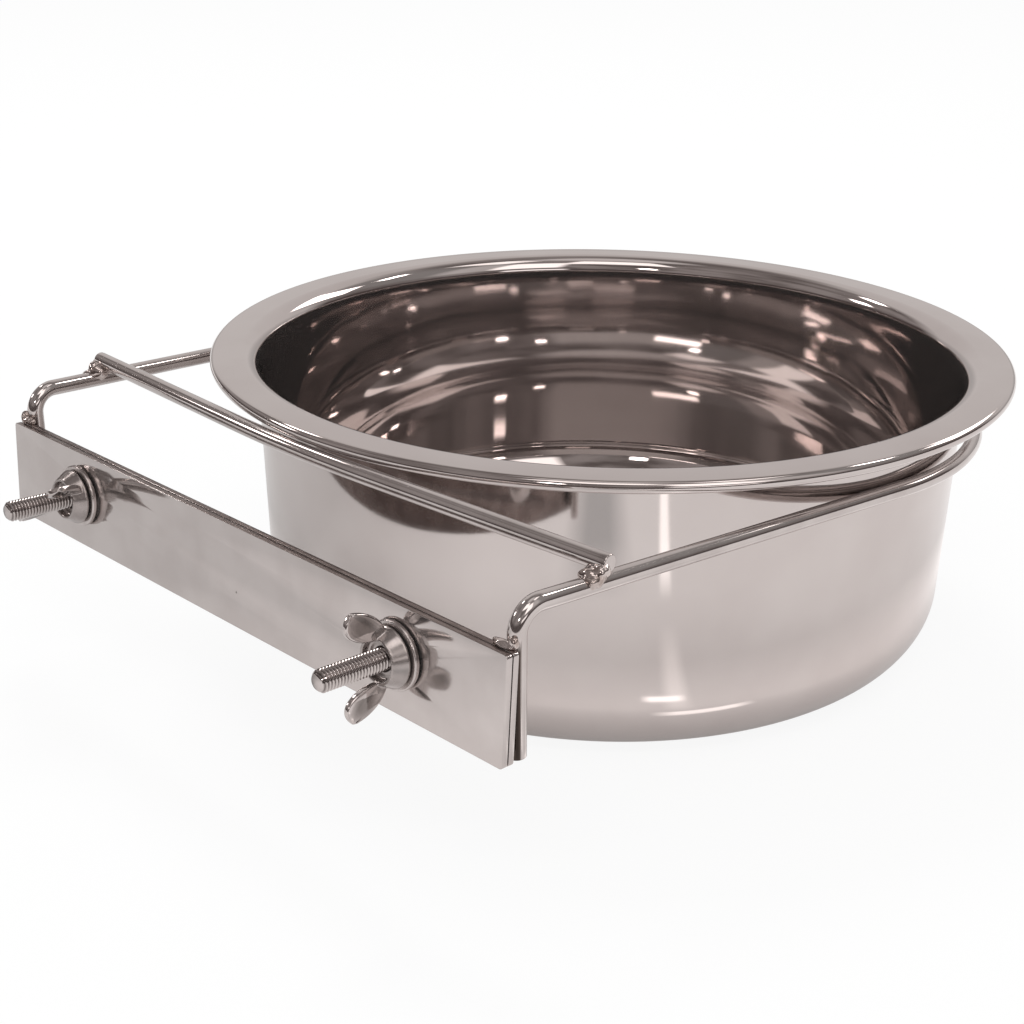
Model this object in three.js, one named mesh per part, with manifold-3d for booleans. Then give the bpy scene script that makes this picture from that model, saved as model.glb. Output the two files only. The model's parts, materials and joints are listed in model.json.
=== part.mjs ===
// Clamp-on feeding bowl: a deep-drawn steel bowl held in a wire frame, with a bolted
// two-plate clamp that grips the wires of a cage or kennel door.
// Millimetres, +Z up. The origin is the middle of the bowl's flat base, on the bowl's axis.
// +X runs along the clamp plates, +Y from the clamp towards the bowl.

import * as THREE from 'three';
import { mergeVertices } from 'three/addons/utils/BufferGeometryUtils.js';
import Module from 'manifold-3d';

const wasm = await Module();
wasm.setup();

const degrees = THREE.MathUtils.degToRad;

// Bowl
const RIM_RADIUS = 105; // outside of the rolled edge
const BOWL_HEIGHT = 77; // base to the top of the flange
const BOWL_SHEET = 0.8; // sheet thickness
const ROLL_RADIUS = 1.5; // outside radius of the rolled edge's section
const FLANGE_WIDTH = 11.8; // rolled edge's outside to the wall, with the bend between them
const WALL_TAPER = degrees(1.8); // the wall narrows towards the base
const LIP_RADIUS = 4; // bend between wall and flange, on the underside
const CORNER_RADIUS = 17; // bend between wall and base, on the outside

// Wire frame: a bent ring wire with a crossbar on top of its arms
const WIRE_RADIUS = 2;
const FRAME_SLOPE = degrees(2.76); // the arms rise from the bowl's far side to the clamp
const RING_CLEARANCE = 0.45; // between the ring and the bowl's wall at the sides
const RING_OFFSET = 2.5; // the ring's centre lies beyond the bowl's axis
const LEG_SPACING = 175.5; // between the legs' centre lines
const LEG_REACH = 16.7; // the legs' centre lines beyond the rim
const LEG_LEAN = degrees(3.6); // the legs' lower ends lean towards the bowl
const LEG_BEND_RADIUS = 5.5; // centre line of the bend between arm and leg
const LEG_OVERHANG = 0.5; // the legs reach below the clamp plates
const CROSSBAR_REACH = 0.9; // the crossbar's middle beyond the rolled edge's own centre line
const CROSSBAR_ANGLE = degrees(3.7); // each half of the crossbar turns back towards the bowl
const CROSSBAR_BEND_RADIUS = 400; // centre line of the soft bend in its middle
const CROSSBAR_OVERHANG = 1.9; // past the arms' centre lines

// Clamp plates
const PLATE_HEIGHT = 24;
const PLATE_THICKNESS = 1.4;
const PLATE_CORNER = 0.8;
const PLATE_DROP = 7.5; // top edges below the arms' centre lines
const PLATE_SHIFT = 1; // the plates sit a little off the wire frame's middle

// Carriage bolts, washers and wing nuts
const BOLT_INSET = 31; // bolts from the plates' ends
const BOLT_RISE = 1.2; // bolts above the plates' mid-height
const BOLT_RADIUS = 2.45; // over the thread
const BOLT_REACH = 20.2; // past the front plate when the clamp is closed
const BOLT_CHAMFER = 0.7;
const HEAD_RADIUS = 5.6;
const HEAD_HEIGHT = 2.6;
const HEAD_EDGE = 0.6; // straight part of the head's edge
const NECK_WIDTH = 5; // across the flats of the square neck
const HOLE_CLEARANCE = 0.35; // round every shank and neck
const WASHER_RADIUS = 7.5;
const WASHER_THICKNESS = 1.2;
const WASHER_EDGE = 0.4; // rounding of the washer's outer edge
const NUT_RADIUS = 5.6; // widest place of the nut's cup, just above its base
const NUT_RIM_RADIUS = 5.1; // outside of the cup's open end
const NUT_HEIGHT = 3.6; // base to the cup's open end
const NUT_EDGE = 0.7; // chamfer round the nut's base
const NUT_WALL = 1; // metal of the cup's open end
const NUT_FLOOR = 1.9; // threaded metal at the nut's base
const WING_SPAN = 25.2; // tip to tip
const WING_THICKNESS = 1.9;
const WING_TIP_RADIUS = 2.9;
const WING_TIP_HEIGHT = 7.4; // middle of a wing's round tip above the nut's base
const WING_FOOT = 1.2; // where a wing leaves the cup, above the nut's base
const WING_EDGE = 0.35; // rounding of the wings' edges
const WING_TIP_FRONT = degrees(125); // where the tip's arc meets the wing's upper edge
const WING_TIP_BACK = degrees(-50); // and its lower edge
const WING_CROOK = 2; // the upper edge's curve reaches for this many nut heights
const LEFT_NUT_TURN = degrees(-55); // wings from upright, seen from the front
const RIGHT_NUT_TURN = degrees(3);

// Weld beads, as half length, half depth and half height
const CROSSBAR_WELD = new THREE.Vector3(3.1, 3.4, 2.5);
const LEG_WELD = new THREE.Vector3(3.2, 1.2, 1.4);

// Fits, and how finely round shapes are cut into flats
const SEAT_GAP = 0.3; // between pieces that rest on each other
const BOWL_SIDES = 80;
const RING_STEPS = 48;
const WIRE_SIDES = 16;
const HOLE_SIDES = 24;

// The two centre lines that seat the frame under the rim, in the frame's own axes: its origin is
// above the bowl's axis at the height of the arms, its X and Y axes hold the arms
const up = new THREE.Vector3(0, 0, 1);
const slopeSin = Math.sin(FRAME_SLOPE);
const slopeCos = Math.cos(FRAME_SLOPE);
const crossbarLift = 2 * WIRE_RADIUS + SEAT_GAP;
const rollCircle = RIM_RADIUS - ROLL_RADIUS;
const crossbarY = -(rollCircle + CROSSBAR_REACH + crossbarLift * slopeSin) / slopeCos;
const rimSeat = Math.sqrt((ROLL_RADIUS + WIRE_RADIUS + SEAT_GAP) ** 2 - CROSSBAR_REACH ** 2);
const armHeight = BOWL_HEIGHT - ROLL_RADIUS - rimSeat + crossbarY * slopeSin - crossbarLift * slopeCos;

// The arms are tangents from the legs to the ring
const wallSlope = Math.tan(WALL_TAPER);
const wallRadiusAt = (height) => RIM_RADIUS - FLANGE_WIDTH - (BOWL_HEIGHT - height) * wallSlope;
const ringRadius = wallRadiusAt(armHeight) + RING_CLEARANCE + WIRE_RADIUS;
const ringCentre = new THREE.Vector3(0, RING_OFFSET, 0);
const legX = LEG_SPACING / 2;
const legY = -(RIM_RADIUS + LEG_REACH);
const legFromRing = Math.hypot(legX, RING_OFFSET - legY);
const armSplay = Math.asin(ringRadius / legFromRing) - Math.atan2(legX, RING_OFFSET - legY);

// The clamp's own axes start at the rear plate's back face, which stands against the legs' fronts
const legDrop = PLATE_DROP + PLATE_HEIGHT + LEG_OVERHANG;
const plateTopLegY = legY + PLATE_DROP * Math.tan(LEG_LEAN);
const plateBackY = plateTopLegY - WIRE_RADIUS / Math.cos(LEG_LEAN) - SEAT_GAP;
const plateLength = LEG_SPACING + 2 * WIRE_RADIUS;
const boltX = plateLength / 2 - BOLT_INSET;
const frontPlateOut = PLATE_THICKNESS + SEAT_GAP;
const washerOut = frontPlateOut + PLATE_THICKNESS + SEAT_GAP;
const nutOut = washerOut + WASHER_THICKNESS + SEAT_GAP;

function steel(name, color, roughness) {
  return new THREE.MeshStandardMaterial({ name, color, metalness: 1, roughness });
}

const bowlSteel = steel('bowl_steel', 0xb9b0ad, 0.18);
const brightWire = steel('bright_wire', 0xc4bfbb, 0.1);
const plateSteel = steel('plate_steel', 0xb4aba8, 0.24);
const fastenerSteel = steel('fastener_steel', 0xbdb7b2, 0.2);
const weldSteel = steel('weld_steel', 0xa8a29e, 0.25);

function piece(name, geometry, material, position = [0, 0, 0], rotation = [0, 0, 0]) {
  const mesh = new THREE.Mesh(geometry, material);
  mesh.name = name;
  mesh.position.set(...position);
  mesh.rotation.set(...rotation);
  return mesh;
}

// A closed geometry as a solid that can be cut and joined
function solid(geometry) {
  const bare = geometry.clone();
  bare.deleteAttribute('normal');
  bare.deleteAttribute('uv');
  const merged = mergeVertices(bare, 1e-4);
  return new wasm.Manifold(new wasm.Mesh({
    numProp: 3,
    vertProperties: new Float32Array(merged.getAttribute('position').array),
    triVerts: new Uint32Array(merged.index.array),
  }));
}

function geometryOf(manifold) {
  const surface = manifold.getMesh();
  const geometry = new THREE.BufferGeometry();
  geometry.setAttribute('position', new THREE.BufferAttribute(surface.vertProperties, 3));
  geometry.setIndex(new THREE.BufferAttribute(surface.triVerts, 1));
  return geometry;
}

// Points round part of a circle, angles counted from the X axis towards the Y axis
function arcPoints(x, y, radius, from, to, steps) {
  return Array.from({ length: steps + 1 }, (_, i) => {
    const angle = from + ((to - from) * i) / steps;
    return new THREE.Vector2(x + radius * Math.cos(angle), y + radius * Math.sin(angle));
  });
}

function circleShape(radius, sides) {
  return new THREE.Shape(arcPoints(0, 0, radius, 0, 2 * Math.PI, sides).slice(0, -1));
}

// A profile of (radius, height) points turned round the Z axis
function turned(points, sides) {
  return new THREE.LatheGeometry(points, sides).rotateX(Math.PI / 2);
}

// Bowl: flat base, round corner, tapered wall, flat flange and an edge rolled under it

function bowlGeometry() {
  const quarter = Math.PI / 2;
  const sideways = 1 / Math.cos(WALL_TAPER);
  const lipY = BOWL_HEIGHT - BOWL_SHEET - LIP_RADIUS;
  const lipX = wallRadiusAt(lipY) + LIP_RADIUS * sideways;
  const cornerX = wallRadiusAt(CORNER_RADIUS) - CORNER_RADIUS * sideways;
  const rollY = BOWL_HEIGHT - ROLL_RADIUS;
  // The roll closes against the flange's underside
  const rollStart = -Math.PI - Math.asin(1 - BOWL_SHEET / ROLL_RADIUS);
  return turned([
    new THREE.Vector2(0, 0),
    ...arcPoints(cornerX, CORNER_RADIUS, CORNER_RADIUS, -quarter, -WALL_TAPER, 8),
    ...arcPoints(lipX, lipY, LIP_RADIUS, Math.PI - WALL_TAPER, quarter, 4),
    ...arcPoints(rollCircle, rollY, ROLL_RADIUS, rollStart, quarter, 10),
    ...arcPoints(lipX, lipY, LIP_RADIUS + BOWL_SHEET, quarter, Math.PI - WALL_TAPER, 5),
    ...arcPoints(cornerX, CORNER_RADIUS, CORNER_RADIUS - BOWL_SHEET, -WALL_TAPER, -quarter, 8),
    new THREE.Vector2(0, BOWL_SHEET),
  ], BOWL_SIDES);
}

// Wires

// A round stretch of wire, from a start point and turning about a centre
class WireBend extends THREE.Curve {
  constructor(centre, start, axis, angle) {
    super();
    this.centre = centre;
    this.start = start;
    this.axis = axis;
    this.angle = angle;
  }

  getPoint(t, target = new THREE.Vector3()) {
    target.copy(this.start).sub(this.centre).applyAxisAngle(this.axis, this.angle * t);
    return target.add(this.centre);
  }

  getTangent(t, target = new THREE.Vector3()) {
    const arm = this.getPoint(t).sub(this.centre);
    return target.crossVectors(this.axis, arm).normalize();
  }
}

// A whole wire's centre line: stretches that follow each other, each cut into its own number of steps
class WireLine extends THREE.Curve {
  constructor(stretches) {
    super();
    this.stretches = stretches;
    this.steps = stretches.reduce((sum, stretch) => sum + stretch.steps, 0);
  }

  find(u) {
    let step = u * this.steps;
    let last = this.stretches[0];
    for (const stretch of this.stretches) {
      last = stretch;
      if (step <= stretch.steps) break;
      step -= stretch.steps;
    }
    return [last.curve, Math.min(step / last.steps, 1)];
  }

  getPointAt(u, target) {
    const [curve, t] = this.find(u);
    return curve.getPoint(t, target);
  }

  getTangentAt(u, target) {
    const [curve, t] = this.find(u);
    return curve.getTangent(t, target);
  }
}

// The bend that rounds a corner between two straight stretches
function cornerBend(before, corner, after, radius) {
  const back = before.clone().sub(corner).normalize();
  const onward = after.clone().sub(corner).normalize();
  const half = back.angleTo(onward) / 2;
  const start = corner.clone().addScaledVector(back, radius / Math.tan(half));
  const inward = back.clone().add(onward).normalize();
  const centre = corner.clone().addScaledVector(inward, radius / Math.sin(half));
  const axis = new THREE.Vector3().crossVectors(onward, back).normalize();
  return new WireBend(centre, start, axis, Math.PI - 2 * half);
}

// Straight stretches from one end to the other, with the given bends between them
function wireLine(start, bends, end) {
  const stretches = [];
  let from = start;
  for (const { bend, steps } of bends) {
    stretches.push({ curve: new THREE.LineCurve3(from, bend.start), steps: 1 });
    stretches.push({ curve: bend, steps });
    from = bend.getPoint(1);
  }
  stretches.push({ curve: new THREE.LineCurve3(from, end), steps: 1 });
  return new WireLine(stretches);
}

function wireGeometry(line, radius) {
  return new THREE.ExtrudeGeometry(circleShape(radius, WIRE_SIDES), {
    steps: line.steps,
    extrudePath: line,
    bevelEnabled: false,
  });
}

// Leg, arm, ring, arm and leg in one wire
function ringWireLine() {
  const corner = new THREE.Vector3(legX, legY, 0);
  const legEnd = corner.clone().add(new THREE.Vector3(0, legDrop * Math.tan(LEG_LEAN), -legDrop));
  const tangent = new THREE.Vector3(Math.cos(armSplay), -Math.sin(armSplay), 0);
  const ringStart = tangent.multiplyScalar(ringRadius).add(ringCentre);
  const ring = new WireBend(ringCentre, ringStart, up, Math.PI + 2 * armSplay);
  const mirrored = (point) => point.clone().setX(-point.x);
  const rightBend = cornerBend(legEnd, corner, ringStart, LEG_BEND_RADIUS);
  const leftBend = cornerBend(mirrored(ringStart), mirrored(corner), mirrored(legEnd), LEG_BEND_RADIUS);
  return wireLine(legEnd, [
    { bend: rightBend, steps: 7 },
    { bend: ring, steps: RING_STEPS },
    { bend: leftBend, steps: 7 },
  ], mirrored(legEnd));
}

// Where the crossbar's centre line crosses an arm's
const crossbarRise = Math.tan(CROSSBAR_ANGLE);
const crossbarCorner = crossbarY - CROSSBAR_BEND_RADIUS * (1 / Math.cos(CROSSBAR_ANGLE) - 1);
const crossingX = (legX + (crossbarCorner - legY) * Math.tan(armSplay))
  / (1 - crossbarRise * Math.tan(armSplay));
const crossingY = crossbarCorner + crossingX * crossbarRise;

function crossbarLine() {
  const endX = crossingX + CROSSBAR_OVERHANG;
  const end = new THREE.Vector3(endX, crossbarCorner + endX * crossbarRise, crossbarLift);
  const start = end.clone().setX(-endX);
  const middle = new THREE.Vector3(0, crossbarCorner, crossbarLift);
  const bend = cornerBend(start, middle, end, CROSSBAR_BEND_RADIUS);
  return wireLine(start, [{ bend, steps: 6 }], end);
}

// Clamp

function rectangleShape(length, height, corner) {
  const x = length / 2 - corner;
  const y = height / 2 - corner;
  const quarter = Math.PI / 2;
  return new THREE.Shape([
    ...arcPoints(x, y, corner, 0, quarter, 3),
    ...arcPoints(-x, y, corner, quarter, 2 * quarter, 3),
    ...arcPoints(-x, -y, corner, 2 * quarter, 3 * quarter, 3),
    ...arcPoints(x, -y, corner, 3 * quarter, 4 * quarter, 3),
  ]);
}

// A plate with a hole for each bolt, its back face at y = 0 and its thickness towards -Y
function plateGeometry(holeShape) {
  const straight = { depth: PLATE_THICKNESS, bevelEnabled: false };
  const blank = rectangleShape(plateLength, PLATE_HEIGHT, PLATE_CORNER);
  let plate = solid(new THREE.ExtrudeGeometry(blank, straight));
  for (const side of [-1, 1]) {
    const hole = new THREE.ExtrudeGeometry(holeShape, straight)
      .scale(1, 1, 3)
      .translate(side * boltX, BOLT_RISE, -PLATE_THICKNESS);
    plate = plate.subtract(solid(hole));
  }
  return geometryOf(plate).rotateX(Math.PI / 2);
}

// Low round head with its underside at z = 0, a square neck and a plain shank with a bevelled end
function boltGeometry() {
  const crown = HEAD_HEIGHT - HEAD_EDGE;
  const crownRadius = (HEAD_RADIUS ** 2 + crown ** 2) / (2 * crown);
  const crownHalf = Math.asin(HEAD_RADIUS / crownRadius);
  const bottom = -Math.PI / 2;
  const neckLength = PLATE_THICKNESS + SEAT_GAP;
  const shankLength = neckLength + frontPlateOut + BOLT_REACH;
  const shank = solid(turned([
    ...arcPoints(0, crownRadius - HEAD_HEIGHT, crownRadius, bottom, bottom + crownHalf, 6),
    new THREE.Vector2(HEAD_RADIUS, 0),
    new THREE.Vector2(BOLT_RADIUS, 0),
    new THREE.Vector2(BOLT_RADIUS, shankLength - BOLT_CHAMFER),
    new THREE.Vector2(BOLT_RADIUS - BOLT_CHAMFER, shankLength),
    new THREE.Vector2(0, shankLength),
  ], HOLE_SIDES));
  const sunk = HEAD_EDGE / 2;
  const neck = new THREE.BoxGeometry(NECK_WIDTH, NECK_WIDTH, neckLength + sunk)
    .translate(0, 0, (neckLength - sunk) / 2);
  return geometryOf(shank.add(solid(neck)));
}

function washerGeometry() {
  const bore = BOLT_RADIUS + HOLE_CLEARANCE;
  const edge = WASHER_RADIUS - WASHER_EDGE;
  const quarter = Math.PI / 2;
  return turned([
    new THREE.Vector2(bore, 0),
    ...arcPoints(edge, WASHER_EDGE, WASHER_EDGE, -quarter, 0, 3),
    ...arcPoints(edge, WASHER_THICKNESS - WASHER_EDGE, WASHER_EDGE, 0, quarter, 3),
    new THREE.Vector2(bore, WASHER_THICKNESS),
    new THREE.Vector2(bore, 0),
  ], 2 * HOLE_SIDES);
}

// Pressed wing nut on the Z axis: a cup open at its outer end, with two wings along X
function wingNutGeometry() {
  const bore = BOLT_RADIUS + HOLE_CLEARANCE;
  const inside = NUT_RIM_RADIUS - NUT_WALL;
  const cup = solid(turned([
    new THREE.Vector2(bore, 0),
    new THREE.Vector2(NUT_RADIUS - NUT_EDGE, 0),
    new THREE.Vector2(NUT_RADIUS, NUT_EDGE),
    new THREE.Vector2(NUT_RIM_RADIUS, NUT_HEIGHT),
    new THREE.Vector2(inside, NUT_HEIGHT),
    new THREE.Vector2(inside, NUT_FLOOR + NUT_EDGE),
    new THREE.Vector2(bore, NUT_FLOOR),
    new THREE.Vector2(bore, 0),
  ], HOLE_SIDES));
  const wing = solid(wingGeometry());
  const turnedRound = solid(wingGeometry().rotateZ(Math.PI));
  return geometryOf(cup.add(wing).add(turnedRound));
}

// One wing: from a foot in the cup's wall it leans out and forwards to a round tip
function wingGeometry() {
  const foot = NUT_RIM_RADIUS - NUT_WALL / 2;
  const tipX = WING_SPAN / 2 - WING_TIP_RADIUS;
  const shape = new THREE.Shape();
  shape.moveTo(foot, WING_FOOT);
  shape.lineTo(NUT_RADIUS, WING_FOOT);
  shape.absarc(tipX, WING_TIP_HEIGHT, WING_TIP_RADIUS, WING_TIP_BACK, WING_TIP_FRONT);
  shape.quadraticCurveTo(NUT_RADIUS, NUT_HEIGHT * WING_CROOK, foot, NUT_HEIGHT);
  return new THREE.ExtrudeGeometry(shape, {
    depth: WING_THICKNESS - 2 * WING_EDGE,
    curveSegments: 5,
    bevelEnabled: true,
    bevelThickness: WING_EDGE,
    bevelSize: WING_EDGE,
    bevelOffset: -WING_EDGE,
    bevelSegments: 2,
  }).translate(0, 0, WING_EDGE - WING_THICKNESS / 2).rotateX(Math.PI / 2);
}

// Weld beads: round lumps that fill a corner, cut back where the wires and plates are

const ringLine = ringWireLine();
const crossLine = crossbarLine();
const ringRoom = solid(wireGeometry(ringLine, WIRE_RADIUS + SEAT_GAP));
const crossbarRoom = solid(wireGeometry(crossLine, WIRE_RADIUS + SEAT_GAP));

function lump(half, x, y, z) {
  const ball = new THREE.SphereGeometry(1, 18, 12).rotateX(Math.PI / 2);
  return solid(ball.scale(half.x, half.y, half.z).translate(x, y, z));
}

// The bead lies on the arm, along the crossbar's outer side
function crossbarWeldGeometry(side) {
  const bead = lump(CROSSBAR_WELD, side * crossingX, crossingY - WIRE_RADIUS, WIRE_RADIUS);
  return geometryOf(bead.subtract(ringRoom).subtract(crossbarRoom));
}

// The bead lies on the rear plate's top edge, against the leg's front
function legWeldGeometry(side) {
  const bead = lump(LEG_WELD, side * legX, plateBackY - PLATE_THICKNESS / 2, -PLATE_DROP);
  const depth = 2 * PLATE_THICKNESS + 3 * SEAT_GAP;
  const height = PLATE_HEIGHT + 2 * SEAT_GAP;
  const plates = new THREE.BoxGeometry(2 * plateLength, depth, height)
    .translate(0, plateBackY + SEAT_GAP - depth / 2, SEAT_GAP - PLATE_DROP - height / 2);
  return geometryOf(bead.subtract(ringRoom).subtract(solid(plates)));
}

// Assembly

const shankHole = circleShape(BOLT_RADIUS + HOLE_CLEARANCE, HOLE_SIDES);
const neckHoleWidth = NECK_WIDTH + 2 * HOLE_CLEARANCE;
const neckHole = rectangleShape(neckHoleWidth, neckHoleWidth, HOLE_CLEARANCE);

const clamp = new THREE.Group();
clamp.position.set(PLATE_SHIFT, plateBackY, -PLATE_DROP - PLATE_HEIGHT / 2);
clamp.add(
  piece('rear_plate', plateGeometry(neckHole), plateSteel),
  piece('front_plate', plateGeometry(shankHole), plateSteel, [0, -frontPlateOut, 0]),
);

const outwards = Math.PI / 2; // turns +Z to -Y
for (const [name, side, nutTurn] of [['left', -1, LEFT_NUT_TURN], ['right', 1, RIGHT_NUT_TURN]]) {
  const at = (out) => [side * boltX, -out, BOLT_RISE];
  clamp.add(
    piece(`bolt_${name}`, boltGeometry(), fastenerSteel, at(-SEAT_GAP), [outwards, 0, 0]),
    piece(`washer_${name}`, washerGeometry(), fastenerSteel, at(washerOut), [outwards, 0, 0]),
    piece(`wing_nut_${name}`, wingNutGeometry(), fastenerSteel, at(nutOut),
      [outwards, 0, Math.PI / 2 + nutTurn]),
  );
}

const frame = new THREE.Group();
frame.position.set(0, 0, armHeight);
frame.rotation.x = -FRAME_SLOPE;
frame.add(
  piece('ring_wire', wireGeometry(ringLine, WIRE_RADIUS), brightWire),
  piece('crossbar', wireGeometry(crossLine, WIRE_RADIUS), brightWire),
  piece('crossbar_weld_left', crossbarWeldGeometry(-1), weldSteel),
  piece('crossbar_weld_right', crossbarWeldGeometry(1), weldSteel),
  piece('leg_weld_left', legWeldGeometry(-1), weldSteel),
  piece('leg_weld_right', legWeldGeometry(1), weldSteel),
  clamp,
);

const clampOnBowl = new THREE.Group();
clampOnBowl.name = 'clamp_on_bowl';
clampOnBowl.add(piece('bowl', bowlGeometry(), bowlSteel), frame);

export default clampOnBowl;
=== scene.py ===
"""Looks of a clamp-on feeding bowl: a drawn steel bowl in a bent wire frame with a bolted clamp.

Every visible piece is worked out as a surface in metres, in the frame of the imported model, and
dressed in a procedural steel finish. Z is up, the clamp is on the -Y side of the bowl.
"""

import json
import logging
from dataclasses import dataclass, field
from enum import Enum

import bpy
import numpy as np
from mathutils import Matrix, Vector


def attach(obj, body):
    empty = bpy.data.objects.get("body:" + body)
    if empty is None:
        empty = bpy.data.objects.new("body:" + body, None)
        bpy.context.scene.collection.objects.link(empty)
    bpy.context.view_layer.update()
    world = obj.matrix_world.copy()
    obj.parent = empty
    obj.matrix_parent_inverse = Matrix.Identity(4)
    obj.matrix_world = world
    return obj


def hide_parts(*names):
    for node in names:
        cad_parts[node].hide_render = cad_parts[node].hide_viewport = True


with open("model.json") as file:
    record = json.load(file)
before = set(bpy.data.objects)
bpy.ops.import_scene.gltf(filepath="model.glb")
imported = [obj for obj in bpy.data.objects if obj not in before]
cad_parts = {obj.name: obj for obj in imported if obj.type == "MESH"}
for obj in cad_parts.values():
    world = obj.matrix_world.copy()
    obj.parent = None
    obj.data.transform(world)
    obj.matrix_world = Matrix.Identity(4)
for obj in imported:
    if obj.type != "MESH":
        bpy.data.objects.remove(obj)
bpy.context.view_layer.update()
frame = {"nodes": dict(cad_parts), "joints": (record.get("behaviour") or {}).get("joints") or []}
log = logging.getLogger("clamp_on_bowl")

MM = 0.001

Socket = bpy.types.NodeSocket
Triple = tuple[float, float, float]


def mm(*lengths: float) -> np.ndarray:
    """Lengths in millimetres as an array in metres."""
    return np.array(lengths, float) * MM


def arc(centre: tuple[float, float], radius: float, start: float, end: float, steps: int) -> np.ndarray:
    """Points round part of a circle.

    The point at angle a is centre + radius * (cos a, sin a).

    Args:
        centre: the circle's centre.
        radius: its radius.
        start: first angle in degrees.
        end: last angle in degrees.
        steps: how many equal parts the arc is cut into.

    Returns:
        An array of steps + 1 points.
    """
    angles = np.radians(np.linspace(start, end, steps + 1))
    return np.array(centre) + radius * np.stack([np.cos(angles), np.sin(angles)], -1)


def full_turn(steps: int) -> np.ndarray:
    """Evenly spread angles round a whole turn, in radians."""
    return np.linspace(0, 2 * np.pi, steps, endpoint=False)


def cubic(points: np.ndarray, share: np.ndarray) -> np.ndarray:
    """Points on a cubic curve: the Bernstein blend of its four control points.

    Args:
        points: four control points.
        share: where on the curve, from 0 to 1, as a column.

    Returns:
        One point for each share.
    """
    rest = 1 - share
    return (rest ** 3 * points[0] + 3 * rest ** 2 * share * points[1]
            + 3 * rest * share ** 2 * points[2] + share ** 3 * points[3])


def turn_about(axis: np.ndarray, angles: np.ndarray) -> np.ndarray:
    """Turning matrices about one axis, by Rodrigues' formula.

    R = I + sin(a) K + (1 - cos(a)) K K, where K is the cross product with the axis.

    Args:
        axis: a unit vector.
        angles: angles in radians, one for each matrix.

    Returns:
        An array of 3 by 3 matrices.
    """
    x, y, z = axis
    cross = np.array([[0, -z, y], [z, 0, -x], [-y, x, 0]], float)
    sines, cosines = np.sin(angles)[:, None, None], np.cos(angles)[:, None, None]
    return np.eye(3) + sines * cross + (1 - cosines) * (cross @ cross)


def signed_power(values: np.ndarray, power: float) -> np.ndarray:
    """The values' sizes raised to a power, with their signs kept."""
    return np.sign(values) * np.abs(values) ** power


def placed(name: str, data: bpy.types.ID) -> bpy.types.Object:
    """A new object in the scene, at the origin.

    Args:
        name: its name.
        data: its mesh, lamp or camera.

    Returns:
        The object.
    """
    thing = bpy.data.objects.new(name, data)
    bpy.context.scene.collection.objects.link(thing)
    return thing


def soft_noise(directions: np.ndarray, seed: int, waves: int = 7, pitch: float = 2.6) -> np.ndarray:
    """Smooth lumps over a ball: a sum of sine waves in seeded directions.

    Args:
        directions: unit vectors, one for each point.
        seed: picks the waves' directions and phases.
        waves: how many waves are added.
        pitch: mean number of radians that a wave turns over one radius.

    Returns:
        A height between about -1 and 1 for each point.
    """
    picks = np.random.default_rng(seed)
    courses = picks.normal(size=(waves, 3)) * pitch
    phases = picks.uniform(0, 2 * np.pi, waves)
    return np.sin(directions @ courses.T + phases).sum(-1) / np.sqrt(waves)


class Grain(Enum):
    """What a finish's fine streaks follow."""

    OBJECT = "the piece's own axes"
    SURFACE = "the grain attribute, laid along the surface"


@dataclass(frozen=True)
class SteelFinish:
    """A steel surface: its colour, its polish, its streaks and its faint unevenness.

    Lengths are in metres. Streaks and ripples are noise heights that bend the reflections.
    """

    name: str
    slot: str
    colour: Triple
    tint: Triple
    rough: float
    rough_spread: float
    streak_scale: Triple
    streak_depth: float
    ripple_size: float
    ripple_depth: float
    mottle_size: float
    polished: float = 0.05
    grain: Grain = Grain.OBJECT
    # Colour of the painted shade that a mesh's darkening attribute mixes in, and of the specks.
    shade_and_grime: Triple = (0.06, 0.045, 0.038)
    speck_size: float = 0.0
    metallic: float = 0.93
    rough_range: tuple[float, float] = (0.3, 0.7)
    tint_range: tuple[float, float] = (0.35, 0.65)

    def material(self) -> bpy.types.Material:
        """The finish as a material, made at its first use and shared after that.

        Returns:
            The material with all its nodes.
        """
        made = bpy.data.materials.get(self.name)
        if made:
            return made
        material = bpy.data.materials.new(self.name)
        material.use_nodes = True
        sheet = NodeSheet(material.node_tree)
        shader = sheet.tree.nodes["Principled BSDF"].inputs
        place = sheet.place()
        course = sheet.attribute("grain", "Vector") if self.grain is Grain.SURFACE else place
        streaks = sheet.noise(sheet.scaled(course, self.streak_scale), 1.0, detail=4.0)
        mottle = sheet.noise(place, 1 / self.mottle_size, detail=3.0)
        ripple = sheet.noise(place, 1 / self.ripple_size, detail=1.0)
        uneven = sheet.mix(0.5, streaks, mottle)
        rough = sheet.ranged(
            uneven, *self.rough_range, self.rough - self.rough_spread, self.rough + self.rough_spread)
        colour = sheet.mix_colour(sheet.ranged(mottle, *self.tint_range, 0, 1), self.colour, self.tint)
        # Painted shade: the mesh's darkening attribute mixes the dark colour in.
        darkened_colour = sheet.mix_colour(sheet.attribute("shade_and_grime", "Fac"), colour, self.shade_and_grime)
        if self.speck_size:
            darkened_colour = sheet.mix_colour(sheet.specks(place, self.speck_size), darkened_colour, self.shade_and_grime)
        waves = sheet.bump(ripple, self.ripple_depth)
        sheet.link(darkened_colour, shader["Base Color"])
        sheet.link(self.metallic, shader["Metallic"])
        sheet.link(sheet.mix(sheet.attribute("polish", "Fac"), rough, self.polished), shader["Roughness"])
        sheet.link(sheet.bump(streaks, self.streak_depth, Normal=waves), shader["Normal"])
        return material


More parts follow.
